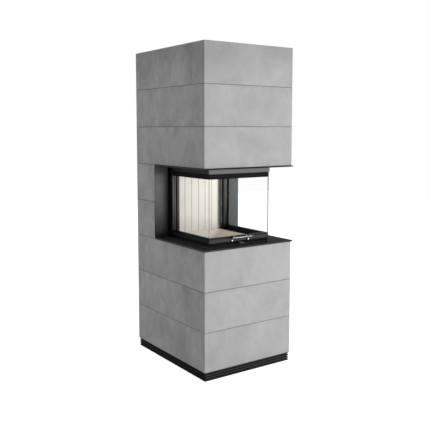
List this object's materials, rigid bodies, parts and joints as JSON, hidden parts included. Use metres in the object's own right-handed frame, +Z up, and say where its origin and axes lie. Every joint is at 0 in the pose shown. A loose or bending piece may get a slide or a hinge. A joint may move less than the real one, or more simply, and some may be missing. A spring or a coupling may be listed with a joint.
{
  "type": "three-sided fireplace",
  "caption": "Tall freestanding fireplace with a three-sided glazed firebox and a counterbalanced lifting door, in a surround of grey concrete modules on a black plinth.",
  "frame": {"origin": "middle of the concrete footprint, on the floor", "axes": "+Z up, +X to the right seen from the front, -Y out of the front door"},
  "size_m": [0.696, 0.853, 2.0549],
  "materials": {
    "concrete": "trowelled light grey concrete, matt, with soft cloudy mottling",
    "black_plinth": "black powder coat, slatted",
    "black_plate": "satin black powder-coated steel plate",
    "graphite_panel": "graphite grey satin lacquer",
    "black_frame": "heat-proof matt black stove paint",
    "door_rail": "dark grey satin stove paint",
    "plain_steel": "bare mill steel",
    "steel_cable": "stranded steel cable",
    "cast_weight": "raw cast iron",
    "back_brick": "ivory firebrick, matt, fine grain",
    "floor_brick": "beige firebrick, matt, speckled",
    "door_glass": "clear ceramic glass with polished edges",
    "polished_handle": "polished stainless steel"
  },
  "bodies": {
    "root": {"plinth": "black_plinth", "base_course_1": "concrete", "base_course_2": "concrete", "base_course_3": "concrete", "rear_course_1": "concrete", "rear_course_2": "concrete", "top_course_1": "concrete", "top_course_2": "concrete", "top_course_3": "concrete", "top_cover": "concrete", "lower_plate": "black_plate", "upper_plate": "black_plate", "reveal_panel_left": "graphite_panel", "reveal_panel_right": "graphite_panel", "fascia": "graphite_panel", "stand_frame": "plain_steel", "lintel_frame": "plain_steel", "levelling_foot_1": "plain_steel", "levelling_foot_2": "plain_steel", "levelling_foot_3": "plain_steel", "levelling_foot_4": "plain_steel", "sill_frame": "black_frame", "firebox_base": "black_frame", "air_spigot": "plain_steel", "floor_brick_1": "floor_brick", "floor_brick_2": "floor_brick", "back_brick_left": "back_brick", "back_brick_right": "back_brick", "rear_casing": "black_frame", "inner_column_left": "graphite_panel", "inner_column_right": "graphite_panel", "baffle_plate": "back_brick", "smoke_hood": "black_frame", "flue_pipe": "black_frame", "guide_rail_left": "graphite_panel", "guide_rail_right": "graphite_panel", "pulley_bracket_left": "plain_steel", "pulley_bracket_right": "plain_steel", "cable_bend_left": "steel_cable", "cable_bend_right": "steel_cable", "door_cable_left": "steel_cable", "door_cable_right": "steel_cable", "weight_cable_left": "steel_cable", "weight_cable_right": "steel_cable"},
    "door": {"door_lower_rail": "door_rail", "door_upper_rail": "black_frame", "rear_stile_left": "black_frame", "rear_stile_right": "black_frame", "front_pane": "door_glass", "side_pane_left": "door_glass", "side_pane_right": "door_glass", "handle_bar": "polished_handle", "handle_bracket_left": "polished_handle", "handle_bracket_right": "polished_handle"},
    "weight_left": {"counterweight_left": "cast_weight"},
    "weight_right": {"counterweight_right": "cast_weight"},
    "wheel_left": {"pulley_left": "plain_steel"},
    "wheel_right": {"pulley_right": "plain_steel"},
    "air_control": {"air_gate": "plain_steel", "air_lever": "black_frame"}
  },
  "joints": [
    {"name": "door_lift", "type": "slide", "parent": "root", "child": "door", "axis": [0, 0, 1], "range_m": [0, 0.38], "deforming": ["door_cable_left", "door_cable_right"]},
    {"name": "weight_left_drop", "type": "slide", "parent": "root", "child": "weight_left", "axis": [0, 0, 1], "range_m": [-0.38, 0], "deforming": ["weight_cable_left"]},
    {"name": "weight_right_drop", "type": "slide", "parent": "root", "child": "weight_right", "axis": [0, 0, 1], "range_m": [-0.38, 0], "deforming": ["weight_cable_right"]},
    {"name": "pulley_left_turn", "type": "hinge", "parent": "root", "child": "wheel_left", "pos_m": [-0.24115, 0.2, 1.8], "axis": [1, 0, 0], "range_deg": [-484, 0]},
    {"name": "pulley_right_turn", "type": "hinge", "parent": "root", "child": "wheel_right", "pos_m": [0.24115, 0.2, 1.8], "axis": [1, 0, 0], "range_deg": [-484, 0]},
    {"name": "air_slide", "type": "slide", "parent": "root", "child": "air_control", "axis": [1, 0, 0], "range_m": [-0.03, 0.03]}
  ],
  "couplings": [
    {"joint": "weight_left_drop", "follows": "door_lift", "ratio": -1},
    {"joint": "weight_right_drop", "follows": "door_lift", "ratio": -1},
    {"joint": "pulley_left_turn", "follows": "door_lift", "rad_per_m": -22.222},
    {"joint": "pulley_right_turn", "follows": "door_lift", "rad_per_m": -22.222}
  ]
}
